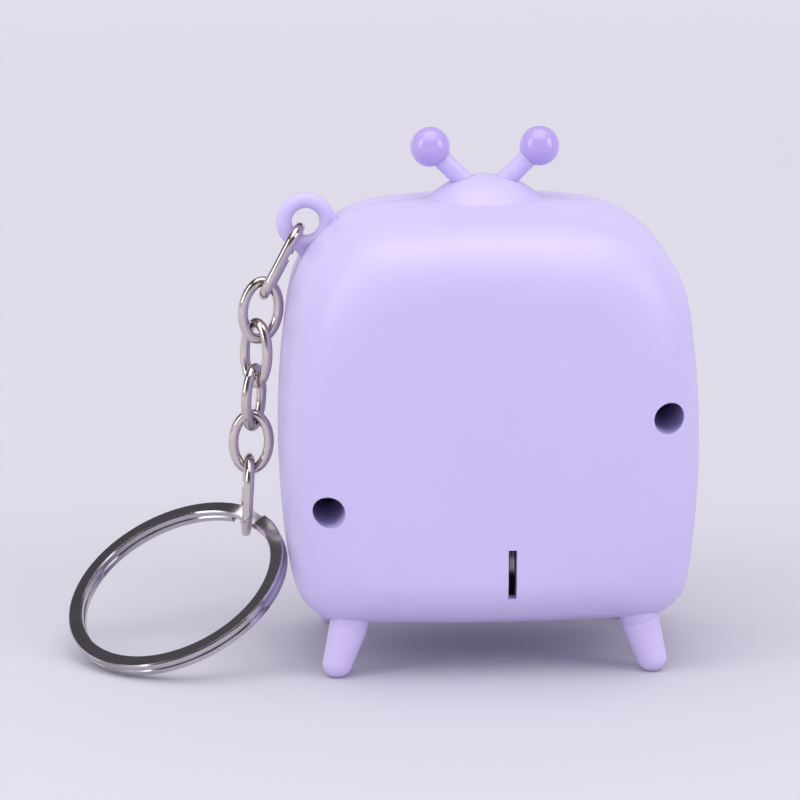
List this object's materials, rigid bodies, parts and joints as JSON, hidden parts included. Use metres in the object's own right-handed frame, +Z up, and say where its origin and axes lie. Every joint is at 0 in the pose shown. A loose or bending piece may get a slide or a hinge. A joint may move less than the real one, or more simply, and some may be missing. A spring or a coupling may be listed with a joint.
{
  "type": "virtual pet keychain",
  "caption": "Pocket virtual-pet toy in a rounded retro television case with ball-tipped antennas, splayed legs, front screen and buttons, on a short link chain with a split ring.",
  "frame": {"origin": "on the plane the feet stand on, midway across the case, under the parting plane between the front and rear shells", "axes": "+X across the case towards the chain, +Y towards the rear cover (the screen faces -Y), +Z up"},
  "size_m": [0.077, 0.0334, 0.0642],
  "materials": {
    "case_plastic": "satin moulded",
    "accent_plastic": "gloss moulded",
    "clear_lens": "clear polished",
    "display_glass": "polished",
    "display_film": "film",
    "inner_plastic": "moulded",
    "black_rubber": "moulded",
    "grey_rubber": "moulded",
    "board_laminate": "solder mask",
    "epoxy": "cast",
    "steel": "plain",
    "chain_nickel": "bright nickel",
    "brass": "plain",
    "piezo_ceramic": "fired",
    "chip_ceramic": "fired",
    "wire_cover": "extruded"
  },
  "bodies": {
    "case": {"front_shell": "case_plastic", "rear_shell": "case_plastic", "antenna_rods": "case_plastic", "leg_rear_left": "case_plastic", "leg_rear_right": "case_plastic", "leg_front_left": "case_plastic", "leg_front_right": "case_plastic", "antenna_ball_left": "accent_plastic", "antenna_ball_right": "accent_plastic", "screen_frame": "accent_plastic", "screen_lens": "clear_lens", "lcd_polariser": "display_film", "lcd_glass": "display_glass", "lcd_reflector": "display_film", "lcd_holder": "inner_plastic", "battery_holder": "inner_plastic", "zebra_strips": "black_rubber", "keypad_sheet": "grey_rubber", "circuit_board": "board_laminate", "chip_blob": "epoxy", "board_screws": "steel", "case_screws": "steel", "crystal": "steel", "button_cell_left": "steel", "button_cell_right": "steel", "battery_spring": "steel", "battery_contact": "steel", "smd_parts": "chip_ceramic", "piezo_plate": "brass", "piezo_ceramic": "piezo_ceramic", "sounder_wires": "wire_cover", "battery_wires": "wire_cover"},
    "button_left": {"button_left": "accent_plastic", "keypad_pill_left": "black_rubber"},
    "button_middle": {"button_middle": "accent_plastic", "keypad_pill_middle": "black_rubber"},
    "button_right": {"button_right": "accent_plastic", "keypad_pill_right": "black_rubber"},
    "lug_link": {"lug_link": "chain_nickel"},
    "chain_link_2": {"chain_link_2": "chain_nickel"},
    "chain_link_3": {"chain_link_3": "chain_nickel"},
    "chain_link_4": {"chain_link_4": "chain_nickel"},
    "chain_link_5": {"chain_link_5": "chain_nickel"},
    "ring_link": {"ring_link": "chain_nickel"},
    "split_ring": {"split_ring": "chain_nickel"}
  },
  "joints": [
    {"name": "press_left", "type": "slide", "parent": "case", "child": "button_left", "axis": [0, 1, 0], "range_m": [0, 0.0009], "stiffness_N_per_m": 400},
    {"name": "press_middle", "type": "slide", "parent": "case", "child": "button_middle", "axis": [0, 1, 0], "range_m": [0, 0.0009], "stiffness_N_per_m": 400},
    {"name": "press_right", "type": "slide", "parent": "case", "child": "button_right", "axis": [0, 1, 0], "range_m": [0, 0.0009], "stiffness_N_per_m": 400},
    {"name": "lug_swing", "type": "hinge", "parent": "case", "child": "lug_link", "pos_m": [0.02372, -0.00115, 0.05065], "axis": [0.7021, 0, 0.712], "range_deg": [-10, 0]},
    {"name": "link_2_swing", "type": "hinge", "parent": "lug_link", "child": "chain_link_2", "pos_m": [0.02695, -0.00115, 0.04342], "axis": [0.1545, 0.9847, 0.081], "range_deg": [-35, 0]},
    {"name": "link_3_swing", "type": "hinge", "parent": "chain_link_2", "child": "chain_link_3", "pos_m": [0.02785, -0.00115, 0.03794], "axis": [0.9773, 0.1722, 0.1231], "range_deg": [-5, 0]},
    {"name": "link_4_swing", "type": "hinge", "parent": "chain_link_3", "child": "chain_link_4", "pos_m": [0.02818, -0.00115, 0.03236], "axis": [-0.5991, 0.8003, -0.0258], "range_deg": [-20, 0]},
    {"name": "link_5_swing", "type": "hinge", "parent": "chain_link_4", "child": "chain_link_5", "pos_m": [0.02851, -0.00115, 0.02688], "axis": [0.4504, 0.8926, 0.0202], "range_deg": [-25, 0]},
    {"name": "ring_link_swing", "type": "hinge", "parent": "chain_link_5", "child": "ring_link", "pos_m": [0.02896, -0.00115, 0.02145], "axis": [0.9832, -0.1713, 0.0638], "range_deg": [-15, 10]},
    {"name": "ring_swing", "type": "hinge", "parent": "ring_link", "child": "split_ring", "pos_m": [0.0295, -0.001, 0.0136], "axis": [-0.0009, 0.9999, 0.0161], "range_deg": [-1.5, 2]}
  ]
}
